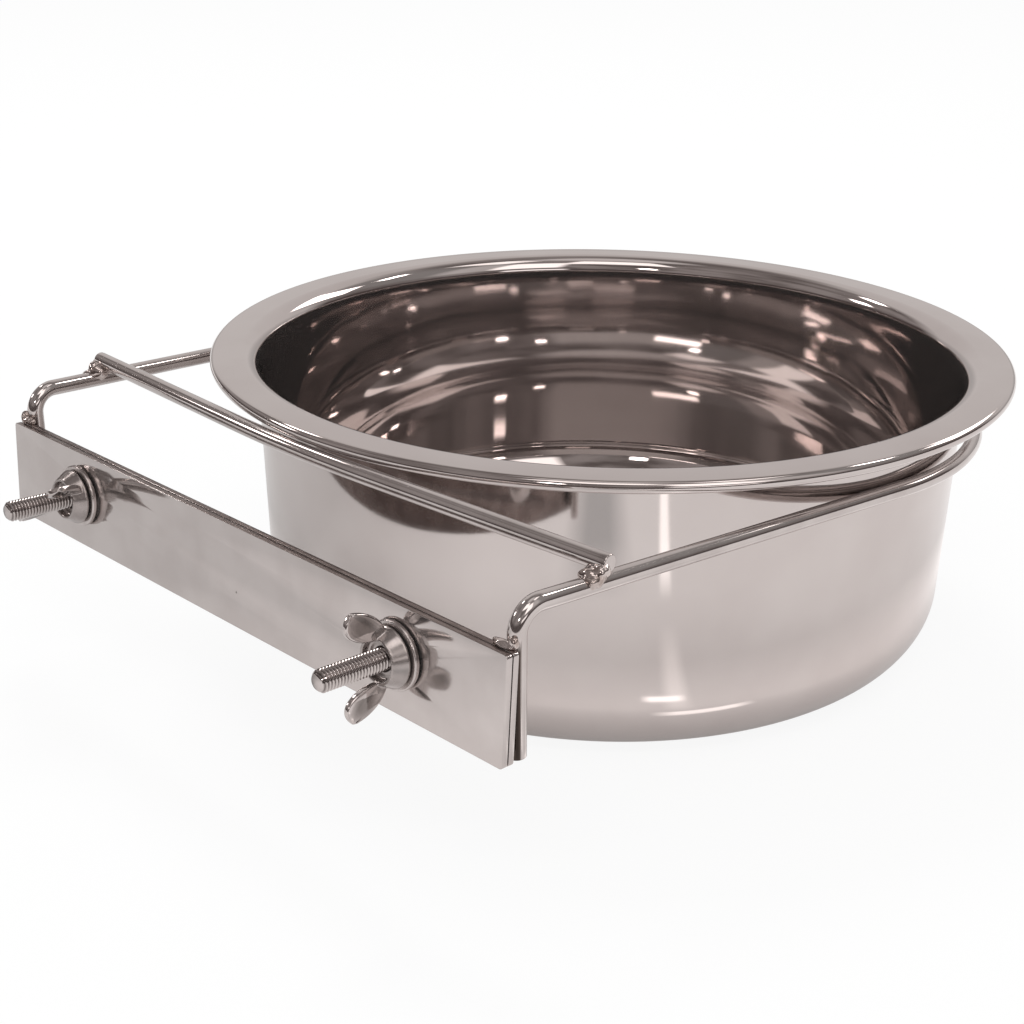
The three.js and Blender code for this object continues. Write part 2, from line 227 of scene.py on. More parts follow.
@dataclass
class NodeSheet:
    """Short ways to add and join shader nodes in one node tree."""

    tree: bpy.types.NodeTree

    @classmethod
    def blank(cls, owner: bpy.types.ID) -> "NodeSheet":
        """The emptied node tree of a material or a world.

        Args:
            owner: the material or the world.

        Returns:
            The sheet of its tree.
        """
        owner.use_nodes = True
        owner.node_tree.nodes.clear()
        return cls(owner.node_tree)

    def link(self, source: object, socket: Socket) -> None:
        """Joins an output to a socket, or writes a plain value into it.

        Args:
            source: an output socket, a number, or a colour or vector of three numbers.
            socket: the input that takes it.
        """
        if isinstance(source, Socket):
            self.tree.links.new(source, socket)
        elif isinstance(source, tuple):
            wide = len(socket.default_value) == 4
            socket.default_value = (*source, 1.0) if wide else source
        else:
            socket.default_value = source

    def node(self, kind: str, output: int | str, inputs: dict[int | str, object],
             **settings: object) -> Socket:
        """Adds a node with its settings and inputs.

        Args:
            kind: the node's type.
            output: the output that is wanted, by its number or name.
            inputs: sockets or plain values, by the input's number or name.
            settings: the node's other properties.

        Returns:
            The output.
        """
        node = self.tree.nodes.new(kind)
        for name, value in settings.items():
            setattr(node, name, value)
        for name, source in inputs.items():
            self.link(source, node.inputs[name])
        return node.outputs[output]

    def place(self) -> Socket:
        """The object's own coordinates."""
        return self.node("ShaderNodeTexCoord", "Object", {})

    def ray(self, kind: str) -> Socket:
        """1 for rays of that kind, 0 for others."""
        return self.node("ShaderNodeLightPath", kind, {})

    def attribute(self, name: str, output: str) -> Socket:
        """A mesh attribute as Fac or Vector; a mesh without it gives zeros."""
        return self.node("ShaderNodeAttribute", output, {}, attribute_name=name)

    def maths(self, operation: str, *values: object) -> Socket:
        """One step of arithmetic on numbers and sockets."""
        return self.node("ShaderNodeMath", 0, dict(enumerate(values)), operation=operation)

    def measure(self, operation: str, *vectors: object) -> Socket:
        """A number worked out from vectors."""
        return self.node("ShaderNodeVectorMath", "Value", dict(enumerate(vectors)), operation=operation)

    def part(self, vector: Socket, axis: str) -> Socket:
        """A vector's X, Y or Z."""
        return self.node("ShaderNodeSeparateXYZ", axis, {0: vector})

    def scaled(self, course: Socket, scale: Triple) -> Socket:
        """Coordinates stretched by a factor along each axis."""
        return self.node("ShaderNodeMapping", "Vector", {"Vector": course, "Scale": scale})

    def noise(self, course: Socket, scale: float, detail: float) -> Socket:
        """Noise between 0 and 1, with that many lumps to a unit and that many finer layers."""
        return self.node("ShaderNodeTexNoise", "Fac", {"Vector": course, "Scale": scale, "Detail": detail})

    def specks(self, place: Socket, size: float, core: float = 0.012, rim: float = 0.02) -> Socket:
        """Sparse round specks of that radius in metres: 0.75 near the cells' centres, 0 elsewhere."""
        cells = self.node("ShaderNodeTexVoronoi", "Distance", {"Vector": place, "Scale": rim / size})
        return self.ranged(cells, core, rim, 0.75, 0)

    def ranged(self, value: Socket, low: float, high: float, to_low: float, to_high: float) -> Socket:
        """A value's range from low to high spread from to_low to to_high, and held at its ends."""
        ends = {"From Min": low, "From Max": high, "To Min": to_low, "To Max": to_high}
        return self.node("ShaderNodeMapRange", "Result", {"Value": value, **ends})

    def mix(self, share: object, first: object, second: object) -> Socket:
        """A blend of two numbers: the first where share is 0, the second where it is 1."""
        return self.node("ShaderNodeMix", 0, {0: share, 2: first, 3: second})

    def mix_colour(self, share: object, first: object, second: object) -> Socket:
        """A blend of two colours: the first where share is 0, the second where it is 1."""
        return self.node("ShaderNodeMix", 2, {0: share, 6: first, 7: second}, data_type="RGBA")

    def bump(self, height: Socket, depth: float, **under: Socket) -> Socket:
        """Normals bent by heights of that depth in metres, over those given as Normal, if any."""
        return self.node("ShaderNodeBump", "Normal", {"Distance": depth, "Height": height, **under})

    def glow(self, colour: Socket, strength: object = 1.0) -> Socket:
        """A shader that gives off light."""
        return self.node("ShaderNodeEmission", 0, {"Color": colour, "Strength": strength})

    def show(self, shader: Socket, output: str = "ShaderNodeOutputMaterial") -> None:
        """Joins a shader to the tree's output."""
        self.link(shader, self.tree.nodes.new(output).inputs["Surface"])


BOWL_STEEL = SteelFinish(
    name="drawn_bowl_steel", slot="bowl_steel", colour=(0.6, 0.555, 0.54), tint=(0.56, 0.512, 0.497),
    rough=0.07, rough_spread=0.025, polished=0.03, grain=Grain.SURFACE, streak_scale=(9.0, 9.0, 2600.0),
    streak_depth=0.3e-6, ripple_size=0.035, ripple_depth=60e-6, mottle_size=0.03, metallic=0.965)
PLATE_STEEL = SteelFinish(
    name="sheared_plate_steel", slot="plate_steel", colour=(0.585, 0.54, 0.525), tint=(0.535, 0.49, 0.475),
    rough=0.11, rough_spread=0.035, streak_scale=(25.0, 1500.0, 1500.0), streak_depth=0.3e-6,
    ripple_size=0.04, ripple_depth=30e-6, mottle_size=0.012, speck_size=0.0004)
# A rougher mill finish whose dark colour is painted shade on the plates' backs and long edges.
SHADED_MILL_PLATE = SteelFinish(
    name="shaded_mill_plate_back", slot="plate_steel", colour=(0.27, 0.22, 0.205), tint=(0.19, 0.15, 0.14),
    rough=0.28, rough_spread=0.07, streak_scale=(25.0, 900.0, 900.0), streak_depth=1.5e-6,
    ripple_size=0.03, ripple_depth=30e-6, mottle_size=0.006, speck_size=0.0004)
WIRE_CHROME = SteelFinish(
    name="bright_wire_chrome", slot="bright_wire", colour=(0.59, 0.545, 0.53), tint=(0.52, 0.475, 0.46),
    rough=0.07, rough_spread=0.03, grain=Grain.SURFACE, streak_scale=(2.5, 2.5, 45.0),
    streak_depth=1.2e-6, ripple_size=0.02, ripple_depth=12e-6, mottle_size=0.01)
FASTENER_CHROME = SteelFinish(
    name="plated_fastener_steel", slot="fastener_steel", colour=(0.62, 0.57, 0.555),
    tint=(0.5, 0.455, 0.44), rough=0.24, rough_spread=0.08, polished=0.07,
    streak_scale=(300.0, 300.0, 300.0), streak_depth=4e-6, ripple_size=0.006, ripple_depth=25e-6,
    mottle_size=0.004)
WELD_STEEL = SteelFinish(
    name="plated_weld_bead", slot="weld_steel", colour=(0.6, 0.54, 0.52), tint=(0.42, 0.35, 0.32),
    rough=0.05, rough_spread=0.02, streak_scale=(900.0, 900.0, 900.0), streak_depth=2e-6,
    ripple_size=0.0025, ripple_depth=60e-6, mottle_size=0.002)


def mark(mesh: bpy.types.Mesh, marks: dict[str, np.ndarray]) -> None:
    """Writes values into a mesh as attributes of its points.

    Args:
        mesh: the mesh.
        marks: by attribute name, one number or one vector for each point.
    """
    for label, values in marks.items():
        vector = values.ndim == 2
        layer = mesh.attributes.new(label, "FLOAT_VECTOR" if vector else "FLOAT", "POINT")
        layer.data.foreach_set("vector" if vector else "value", values.astype(np.float32).ravel())


@dataclass
class Surface:
    """A closed mesh in the making: points, faces and one number or vector for each point."""

    points: np.ndarray
    quads: np.ndarray
    triangles: np.ndarray
    marks: dict[str, np.ndarray] = field(default_factory=dict)

    @classmethod
    def joined(cls, parts: list["Surface"]) -> "Surface":
        """Several closed surfaces as one, each with its faces outwards and without its marks.

        Args:
            parts: the surfaces.

        Returns:
            The joined surface.
        """
        offsets = np.cumsum([0] + [len(part.points) for part in parts])
        flips = [slice(None, None, -1 if part.volume() < 0 else 1) for part in parts]
        return cls(
            np.concatenate([part.points for part in parts]),
            np.concatenate([p.quads[:, flip] + start for p, flip, start in zip(parts, flips, offsets)]),
            np.concatenate([p.triangles[:, flip] + start for p, flip, start in zip(parts, flips, offsets)]))

    def volume(self) -> float:
        """Signed volume.

        It is the sum of a . (b x c) / 6 over the faces' triangles, with corners a, b and c.

        Returns:
            The volume, below 0 where the faces point inwards.
        """
        parts = [self.quads[:, [0, 1, 2]], self.quads[:, [0, 2, 3]], self.triangles]
        a, b, c = (self.points[np.concatenate(parts)[:, i]] for i in range(3))
        return float(np.einsum("ij,ij->i", a, np.cross(b, c)).sum() / 6)

    def mesh(self, name: str) -> bpy.types.Mesh:
        """The surface as a mesh whose faces point outwards, with its attributes.

        Args:
            name: the mesh's name.

        Returns:
            The mesh.
        """
        flip = slice(None, None, -1 if self.volume() < 0 else 1)
        mesh = bpy.data.meshes.new(name)
        faces = self.quads[:, flip].tolist() + self.triangles[:, flip].tolist()
        mesh.from_pydata(self.points.tolist(), [], faces)
        mark(mesh, self.marks)
        mesh.update()
        return mesh


def skin(rings: np.ndarray, ends: bool, marks: dict[str, np.ndarray] | None = None) -> Surface:
    """The closed skin over a run of rings.

    Ring i and ring i + 1 are joined by a quad for each pair of neighbours. With ends, the first
    and last rings are closed by a fan round their middle; without, the last ring joins the first.

    Args:
        rings: points of shape (rings, points in a ring, 3).
        ends: whether the run has two closed ends.
        marks: values of shape (rings, points in a ring) or the same with 3 numbers each.

    Returns:
        The surface.
    """
    count, around = rings.shape[:2]
    index = np.arange(count * around).reshape(count, around)
    onward = np.roll(index, -1, 1)
    rows = slice(0, count - 1 if ends else count)
    upper, upper_onward = np.roll(index, -1, 0), np.roll(onward, -1, 0)
    quads = np.stack([index[rows], onward[rows], upper_onward[rows], upper[rows]], -1).reshape(-1, 4)
    points = rings.reshape(-1, 3)
    triangles = np.zeros((0, 3), int)
    flat = {label: values.reshape(count * around, *values.shape[2:])
            for label, values in (marks or {}).items()}
    if ends:
        middles = rings[[0, -1]].mean(1)
        points = np.concatenate([points, middles])
        first, last = np.full(around, len(points) - 2), np.full(around, len(points) - 1)
        triangles = np.concatenate([
            np.stack([first, onward[0], index[0]], -1),
            np.stack([last, index[-1], onward[-1]], -1),
        ])
        flat = {label: np.concatenate([values, values[[0, -around]]]) for label, values in flat.items()}
    return Surface(points, quads, triangles, flat)


def revolve(profile: np.ndarray, sides: int, ends: bool,
            marks: dict[str, np.ndarray] | None = None) -> Surface:
    """A profile of (radius, height) points turned round the Z axis.

    The point of profile row (r, z) at angle a is (r cos a, r sin a, z). The grain attribute is
    (cos a, sin a, length along the profile), so streaks run round the axis.

    Args:
        profile: points of shape (rows, 2).
        sides: how many flats the turn is cut into.
        ends: whether the profile starts and ends near the axis; if not, it closes on itself.
        marks: one number for each profile row.

    Returns:
        The surface.
    """
    cosines, sines = np.cos(full_turn(sides)), np.sin(full_turn(sides))
    radii, heights = profile[:, :1], profile[:, 1:]
    level = np.ones(sides)
    rings = np.stack([radii * cosines, radii * sines, heights * level], -1)
    lengths = np.concatenate([[0], np.cumsum(np.hypot(*np.diff(profile, axis=0).T))])[:, None]
    grain = np.stack([cosines + 0 * lengths, sines + 0 * lengths, lengths * level], -1)
    spread = {label: values[:, None] * level for label, values in (marks or {}).items()}
    return skin(rings, ends, {"grain": grain, **spread})


@dataclass(frozen=True)
class Place:
    """A set of axes: where a local shape's origin lies and where its X, Y and Z axes point."""

    origin: np.ndarray
    axes: np.ndarray

    def of(self, points: np.ndarray) -> np.ndarray:
        """World points of local points: origin + x X + y Y + z Z."""
        return self.origin + points @ self.axes

    def moved(self, surface: Surface) -> Surface:
        """The surface carried to this place."""
        return Surface(self.of(surface.points), surface.quads, surface.triangles, surface.marks)


def dress(name: str, mesh: bpy.types.Mesh, finish: SteelFinish, body: str, node: str,
          crease: float) -> bpy.types.Object:
    """Makes a piece of a mesh, gives it its finish, ties it to its body and hides the node that it stands
    for.

    Args:
        name: the piece's name.
        mesh: its mesh, in place.
        finish: its steel finish.
        body: the body that it moves with.
        node: the node that it stands for.
        crease: edges bent by more than this many degrees stay sharp.

    Returns:
        The piece.
    """
    mesh.shade_smooth()
    mesh.set_sharp_from_angle(angle=np.radians(crease))
    mesh.materials.clear()
    mesh.materials.append(finish.material())
    piece = placed(name, mesh)
    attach(piece, body)
    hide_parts(node)
    log.info("%s: %d faces on %s", name, len(mesh.polygons), body)
    return piece


def fused(surfaces: list[Surface], name: str, voxel: float, smooth: int) -> bpy.types.Mesh:
    """Overlapping surfaces melted into one skin with small fillets where they meet.

    Args:
        surfaces: closed surfaces that overlap.
        name: the mesh's name.
        voxel: size of the remesh's cells, in metres.
        smooth: rounds of smoothing.

    Returns:
        The fused mesh.
    """
    rough = placed(name, Surface.joined(surfaces).mesh(name))
    remesh = rough.modifiers.new("melt", "REMESH")
    remesh.mode = "VOXEL"
    remesh.voxel_size = voxel
    relax = rough.modifiers.new("relax", "SMOOTH")
    relax.factor = 0.5
    relax.iterations = smooth
    graph = bpy.context.evaluated_depsgraph_get()
    mesh = bpy.data.meshes.new_from_object(rough.evaluated_get(graph))
    bpy.data.objects.remove(rough)
    mesh.name = name
    return mesh


@dataclass
class Bowl:
    """The drawn bowl: flat base, round corner, tapered wall, flat flange and an edge rolled under."""

    rim_radius: float = 105 * MM
    height: float = 77 * MM
    sheet: float = 0.8 * MM
    roll_radius: float = 1.5 * MM
    flange_width: float = 11.8 * MM
    wall_taper: float = 1.8
    lip_radius: float = 4 * MM
    corner_radius: float = 17 * MM
    sides: int = 288
    row_length: float = 3 * MM
    middle_radius: float = 0.4 * MM

    def wall_radius(self, height: float) -> float:
        """Outside radius of the wall at that height."""
        narrowing = (self.height - height) * np.tan(np.radians(self.wall_taper))
        return self.rim_radius - self.flange_width - narrowing

    def profile(self) -> tuple[np.ndarray, np.ndarray]:
        """The sheet's section, from the base's middle outside, over the rim, to the middle inside.

        Straight stretches and arcs tangent to each other; both skins of the sheet share the
        centres of their bends. The last row keeps a small radius, and the closing fan fills it.

        Returns:
            The (radius, height) points, and for each one how far it is polished, from 0 to 1.
        """
        sideways = 1 / np.cos(np.radians(self.wall_taper))
        lip_z = self.height - self.sheet - self.lip_radius
        lip = (self.wall_radius(lip_z) + self.lip_radius * sideways, lip_z)
        corner_x = self.wall_radius(self.corner_radius) - self.corner_radius * sideways
        corner = (corner_x, self.corner_radius)
        roll = (self.rim_radius - self.roll_radius, self.height - self.roll_radius)
        roll_start = -180 - np.degrees(np.arcsin(1 - self.sheet / self.roll_radius))
        taper = self.wall_taper
        # Each bend in order, and how far it is polished.
        bends = [
            (arc(corner, self.corner_radius, -90, -taper, 26), 0.0),
            (arc(lip, self.lip_radius, 180 - taper, 90, 12), 0.0),
            (arc(roll, self.roll_radius, roll_start, 90, 36), 0.2),
            (arc(lip, self.lip_radius + self.sheet, 90, 180 - taper, 14), 0.55),
            (arc(corner, self.corner_radius - self.sheet, -taper, -90, 26), 1.0),
        ]
        rows, polish = [], []
        last, last_polish = np.array([0.0, 0.0]), 0.0
        for points, level in [*bends, (np.array([[0.0, self.sheet]]), 1.0)]:
            gap = np.linalg.norm(points[0] - last)
            steps = max(2, int(gap / self.row_length))
            share = np.linspace(0, 1, steps + 1)[1:-1, None]
            rows += [last + (points[0] - last) * share, points]
            polish += [last_polish + (level - last_polish) * share[:, 0], np.full(len(points), level)]
            last, last_polish = points[-1], level
        section = np.concatenate(rows)
        section[-1] = (self.middle_radius, self.sheet)
        return section, np.concatenate(polish)

    def build(self) -> None:
        """Turns the sheet's section round the axis and dresses it."""
        section, polish = self.profile()
        surface = revolve(section, self.sides, ends=True, marks={"polish": polish})
        dress("drawn_bowl", surface.mesh("drawn_bowl"), BOWL_STEEL, "bowl", "bowl", crease=60)


@dataclass
class WireBender:
    """Carries a wire's centre line onwards by feeds and bends, as a bending machine does."""

    place: np.ndarray
    heading: np.ndarray
    side: np.ndarray
    points: list[np.ndarray] = field(default_factory=list)
    headings: list[np.ndarray] = field(default_factory=list)
    sides: list[np.ndarray] = field(default_factory=list)

    def feed(self, length: float, steps: int) -> None:
        """A straight stretch: place + heading * share of length.

        Args:
            length: how far the wire runs on.
            steps: how many parts the stretch is cut into.
        """
        shares = np.linspace(0, length, steps, endpoint=False)[:, None]
        self.points.append(self.place + self.heading * shares)
        self.headings.append(np.repeat(self.heading[None], steps, 0))
        self.sides.append(np.repeat(self.side[None], steps, 0))
        self.place = self.place + self.heading * length

    def bend(self, radius: float, angle: float, axis: np.ndarray, steps: int) -> None:
        """A round stretch: the place, the heading and the side all turn about the bend's axis.

        Args:
            radius: the bend's radius at the wire's centre line.
            angle: how far it turns, in radians.
            axis: a unit vector square to the heading; the wire turns round it by the right hand.
            steps: how many parts the bend is cut into.
        """
        centre = self.place + radius * np.cross(axis, self.heading)
        turns = turn_about(axis, np.linspace(0, angle, steps + 1))
        places = centre + turns @ (self.place - centre)
        self.points.append(places[:-1])
        self.headings.append((turns @ self.heading)[:-1])
        self.sides.append((turns @ self.side)[:-1])
        self.place, self.heading, self.side = places[-1], turns[-1] @ self.heading, turns[-1] @ self.side

    def surface(self, radius: float, edge: float, around: int = 32) -> Surface:
        """The wire's skin: a circle carried along the centre line, with rounded cut ends.

        The point at angle a of a ring is place + radius * (cos a side + sin a heading x side).
        The grain attribute is (cos a, sin a, length along the wire).

        Args:
            radius: the wire's radius.
            edge: rounding of the cut ends.
            around: points in a ring.

        Returns:
            The surface.
        """
        points = np.concatenate([*self.points, self.place[None]])
        headings = np.concatenate([*self.headings, self.heading[None]])
        sides = np.concatenate([*self.sides, self.side[None]])
        lengths = np.concatenate([[0], np.cumsum(np.linalg.norm(np.diff(points, axis=0), axis=1))])
        halfway = [[0, 0.5 * (radius - edge)]]
        nose = np.concatenate([halfway, arc((edge, radius - edge), edge, 180, 90, 5)])
        along = np.concatenate([nose[:, 0], lengths[1:-1], lengths[-1] - nose[::-1, 0]])
        radii = np.concatenate([nose[:, 1], np.full(len(lengths) - 2, radius), nose[::-1, 1]])
        last = len(lengths) - 1
        picks = np.concatenate([np.zeros(len(nose), int), np.arange(1, last), np.full(len(nose), last)])
        points, headings, sides = points[picks], headings[picks], sides[picks]
        points = points + headings * (along - lengths[picks])[:, None]
        angles = full_turn(around)
        cosines, sines = np.cos(angles)[None, :, None], np.sin(angles)[None, :, None]
        across = cosines * sides[:, None] + sines * np.cross(headings, sides)[:, None]
        rings = points[:, None] + radii[:, None, None] * across
        level = np.ones((len(along), around))
        grain = np.stack([cosines[..., 0] * level, sines[..., 0] * level, along[:, None] * level], -1)
        return skin(rings, ends=True, marks={"grain": grain})


# Each weld bead's balls: the place on the joint and the half sizes, in millimetres, on the right side.
ARM_BALLS = (((-0.2, -2.2, 1.9), (3.0, 2.6, 2.4)), ((0.6, -3.9, 1.3), (1.9, 1.7, 1.4)),
             ((-0.9, 1.0, 2.1), (1.7, 2.2, 1.3)), ((1.5, -1.2, 3.2), (1.5, 1.5, 1.5)))
LEG_BALLS = (((-0.6, -0.5, 0.5), (2.5, 1.2, 0.95)), ((-2.2, -0.3, 0.5), (1.5, 0.9, 0.75)),
             ((1.2, 0.1, 1.1), (1.2, 1.0, 1.3)))


@dataclass
class WireFrame:
    """The ring wire with its two arms and legs, the crossbar on top of the arms, and the weld beads."""

    bowl: Bowl
    wire_radius: float = 2 * MM
    slope: float = 2.76
    ring_clearance: float = 0.45 * MM
    ring_offset: float = 2.5 * MM
    leg_spacing: float = 175.5 * MM
    leg_reach: float = 16.7 * MM
    leg_lean: float = 3.6
    leg_bend_radius: float = 5.5 * MM
    leg_drop: float = 32 * MM
    plate_drop: float = 7.5 * MM
    crossbar_reach: float = 0.9 * MM
    crossbar_angle: float = 3.7
    crossbar_bend_radius: float = 400 * MM
    crossbar_overhang: float = 1.9 * MM
    seat_gap: float = 0.3 * MM
    cut_edge: float = 0.3 * MM
    # Where the painted shade on the legs' side towards the plate starts, and how softly it blends.
    plate_shade_edge: float = 0.28
    plate_shade_blend: float = 0.16
    bead_voxel: float = 0.14 * MM
    bead_smooth: int = 12

    def __post_init__(self) -> None:
        """Seats the frame under the rim: its arms' height, its tilt and its two wires' crossings."""
        sine, cosine = np.sin(np.radians(self.slope)), np.cos(np.radians(self.slope))
        lift = 2 * self.wire_radius + self.seat_gap
        roll_circle = self.bowl.rim_radius - self.bowl.roll_radius
        reach = roll_circle + self.crossbar_reach
        self.lift = lift
        self.crossbar_y = -(reach + lift * sine) / cosine
        touch = self.bowl.roll_radius + self.wire_radius + self.seat_gap
        seat = np.sqrt(touch ** 2 - self.crossbar_reach ** 2)
        roll_z = self.bowl.height - self.bowl.roll_radius
        arm_height = roll_z - seat + self.crossbar_y * sine - lift * cosine
        tilt = np.array([[1, 0, 0], [0, cosine, -sine], [0, sine, cosine]])
        self.place = Place(np.array([0, 0, arm_height]), tilt)
        self.ring_radius = self.bowl.wall_radius(arm_height) + self.ring_clearance + self.wire_radius
        self.leg_x = self.leg_spacing / 2
        self.leg_y = -(self.bowl.rim_radius + self.leg_reach)
        away = self.ring_offset - self.leg_y
        from_ring = np.hypot(self.leg_x, away)
        self.splay = np.arcsin(self.ring_radius / from_ring) - np.arctan2(self.leg_x, away)
        rise = np.tan(np.radians(self.crossbar_angle))
        corner_back = 1 / np.cos(np.radians(self.crossbar_angle)) - 1
        self.crossbar_corner = self.crossbar_y - self.crossbar_bend_radius * corner_back
        spread = (self.crossbar_corner - self.leg_y) * np.tan(self.splay)
        self.crossing_x = (self.leg_x + spread) / (1 - rise * np.tan(self.splay))
        self.crossing_y = self.crossbar_corner + self.crossing_x * rise
        lean = np.tan(np.radians(self.leg_lean))
        leg_front = self.wire_radius / np.cos(np.radians(self.leg_lean))
        self.plate_back_y = self.leg_y + self.plate_drop * lean - leg_front - self.seat_gap

    def ring_wire(self) -> Surface:
        """Leg, arm, ring, arm and leg bent from one wire.

        Painted shade darkens the legs' side towards the plate: the darkening is 1 where the share of
        the wire's radius by which a point stands out towards it is more than the shade's edge plus its
        blend.

        Returns:
            The wire's skin, in place.
        """
        lean = np.radians(self.leg_lean)
        corner = np.array([self.leg_x, self.leg_y, 0])
        end = corner + self.leg_drop * np.array([0, np.tan(lean), -1])
        up_leg = (corner - end) / np.linalg.norm(corner - end)
        arm = np.array([np.sin(self.splay), np.cos(self.splay), 0])
        fold = np.arccos(up_leg @ arm)
        set_back = self.leg_bend_radius * np.tan(fold / 2)
        ring_start = np.array([self.ring_radius * np.cos(self.splay),
                               self.ring_offset - self.ring_radius * np.sin(self.splay), 0])
        arm_length = np.linalg.norm(ring_start - corner) - set_back
        leg_length = np.linalg.norm(corner - end) - set_back
        axis = np.cross(up_leg, arm) / np.sin(fold)
        upright = np.array([0.0, 0.0, 1.0])
        wire = WireBender(end, up_leg, axis)
        wire.feed(leg_length, steps=10)
        wire.bend(self.leg_bend_radius, fold, axis, steps=20)
        wire.feed(arm_length, steps=30)
        wire.bend(self.ring_radius, np.pi + 2 * self.splay, upright, steps=220)
        wire.feed(arm_length, steps=30)
        mirrored_axis = np.cross(wire.heading, up_leg * [-1, 1, 1] * -1)
        wire.bend(self.leg_bend_radius, fold, mirrored_axis / np.linalg.norm(mirrored_axis), steps=20)
        wire.feed(leg_length, steps=10)
        skin_of_wire = wire.surface(self.wire_radius, self.cut_edge)
        _, y, z = skin_of_wire.points.T
        towards_plate = (self.leg_y - z * np.tan(lean) - y) / self.wire_radius
        below_top = np.clip(-(z + self.plate_drop) / MM, 0, 1)
        # Painted shade on the legs' side towards the plate, below the plate's top.
        plate_side_shade = np.clip((towards_plate - self.plate_shade_edge) / self.plate_shade_blend, 0, 1)
        skin_of_wire.marks["shade_and_grime"] = plate_side_shade * below_top
        return self.place.moved(skin_of_wire)

    def crossbar(self) -> Surface:
        """The straight wire laid over both arms, softly bent in its middle.

        Returns:
            The wire's skin, in place.
        """
        angle = np.radians(self.crossbar_angle)
        end_x = self.crossing_x + self.crossbar_overhang
        end = np.array([-end_x, self.crossbar_corner + end_x * np.tan(angle), self.lift])
        heading = np.array([np.cos(angle), -np.sin(angle), 0])
        straight = end_x / np.cos(angle) - self.crossbar_bend_radius * np.tan(angle)
        upright = np.array([0.0, 0.0, 1.0])
        wire = WireBender(end, heading, upright)
        wire.feed(straight, steps=30)
        wire.bend(self.crossbar_bend_radius, 2 * angle, upright, steps=24)
        wire.feed(straight, steps=30)
        return self.place.moved(wire.surface(self.wire_radius, self.cut_edge))

    def bead(self, centre: np.ndarray, half: np.ndarray, seed: int, lump: float = 0.12) -> Surface:
        """A weld bead: a ball stretched to three half sizes, with soft lumps.

        Args:
            centre: its middle, in the frame's own axes.
            half: its half sizes.
            seed: picks the lumps.
            lump: the lumps' height as a share of the radius.

        Returns:
            The surface.
        """
        slices = arc((0, 0), 1, -88, 88, 30)
        angles = full_turn(48)
        flat = np.stack([slices[:, :1] * np.cos(angles), slices[:, :1] * np.sin(angles),
                         slices[:, 1:] + 0 * angles], -1)
        swell = 1 + lump * soft_noise(flat, seed)[..., None]
        return self.place.moved(skin(centre + flat * half * swell, ends=True))

    def beads(self) -> dict[str, list[Surface]]:
        """The balls that make up each weld bead.

        Returns:
            The balls by the node that they stand for.
        """
        crossing = np.array([self.crossing_x, self.crossing_y, 0])
        leg = np.array([self.leg_x, self.plate_back_y, -self.plate_drop])
        balls = {}
        for name, side, seed in (("left", -1, 3), ("right", 1, 8)):
            for weld, middle, rows, first in (("crossbar_weld", crossing, ARM_BALLS, seed),
                                              ("leg_weld", leg, LEG_BALLS, seed + 9)):
                balls[f"{weld}_{name}"] = [
                    self.bead((middle + mm(*at)) * [side, 1, 1], mm(*half), first + count)
                    for count, (at, half) in enumerate(rows)]
        return balls

    def build(self) -> None:
        """Makes and dresses the two wires and the four beads."""
        for name, wire, node in (("ring_wire_bent", self.ring_wire(), "ring_wire"),
                                 ("crossbar_wire", self.crossbar(), "crossbar")):
            dress(name, wire.mesh(name), WIRE_CHROME, "frame", node, crease=60)
        for node, balls in self.beads().items():
            mesh = fused(balls, f"{node}_bead", self.bead_voxel, self.bead_smooth)
            dress(f"{node}_bead", mesh, WELD_STEEL, "frame", node, crease=60)


@dataclass
class ClampPlates:
    """The two sheared plates with their bolt holes."""

    edge: float = 0.22 * MM
    merge: float = 0.002 * MM
    back_facing: float = 0.7
    edge_facing: float = 0.95
    sharp_angle: float = 40.0
    edge_steps: int = 3

    def build(self) -> None:
        """Copies each plate's form from the model, merges its corners and eases its sharp edges.

        Faces that look back, and the long cut edges above and below, keep a rougher mill finish
        whose dark colour is painted shade.
        """
        for node, body in (("rear_plate", "frame"), ("front_plate", "clamp_jaw")):
            mesh = frame["nodes"][node].data.copy()
            mesh.name = f"{node}_sheet"
            plate = dress(f"{node}_sheet", mesh, PLATE_STEEL, body, node, crease=30)
            facing = np.empty(len(mesh.polygons) * 3)
            mesh.polygons.foreach_get("normal", facing)
            _, backwards, upwards = facing.reshape(-1, 3).T
            shaded_mill_faces = (backwards > self.back_facing) | (np.abs(upwards) > self.edge_facing)
            mesh.materials.append(SHADED_MILL_PLATE.material())
            mesh.polygons.foreach_set("material_index", shaded_mill_faces.astype(np.int32))
            weld = plate.modifiers.new("merge", "WELD")
            weld.merge_threshold = self.merge
            bevel = plate.modifiers.new("eased_edges", "BEVEL")
            bevel.width = self.edge
            bevel.segments = self.edge_steps
            bevel.limit_method = "ANGLE"
            bevel.angle_limit = np.radians(self.sharp_angle)
            bevel.harden_normals = True


